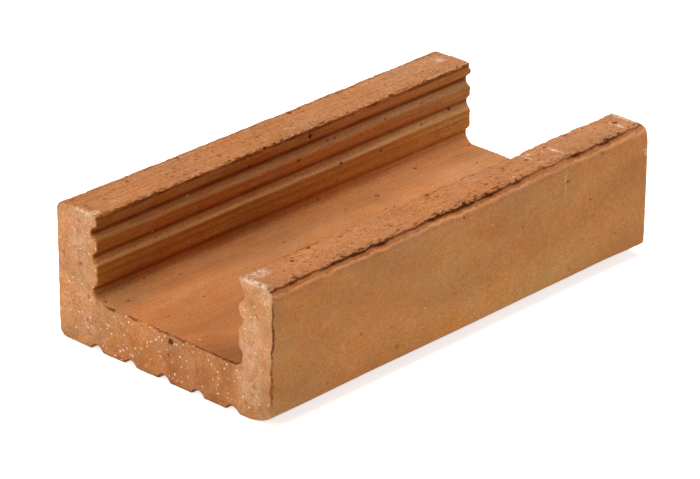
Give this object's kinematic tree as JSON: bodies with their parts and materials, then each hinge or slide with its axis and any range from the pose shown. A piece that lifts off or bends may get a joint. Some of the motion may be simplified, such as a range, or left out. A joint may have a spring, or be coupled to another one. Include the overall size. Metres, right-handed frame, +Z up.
{
  "type": "clay channel brick",
  "caption": "Extruded fired-clay U-shaped channel brick with grooved inner walls, keying grooves underneath and rounded outer shoulders, for lintels and bond beams.",
  "frame": {"origin": "middle of the underside, at the height of the lands that the brick stands on", "axes": "+X along the extrusion and the open channel, +Y across the section towards the thicker wall, +Z up out of the channel"},
  "size_m": [0.25, 0.137, 0.067],
  "materials": {
    "fired_clay": "rough, sandy, unglazed"
  },
  "bodies": {
    "root": {"channel_brick": "fired_clay"}
  },
  "joints": []
}
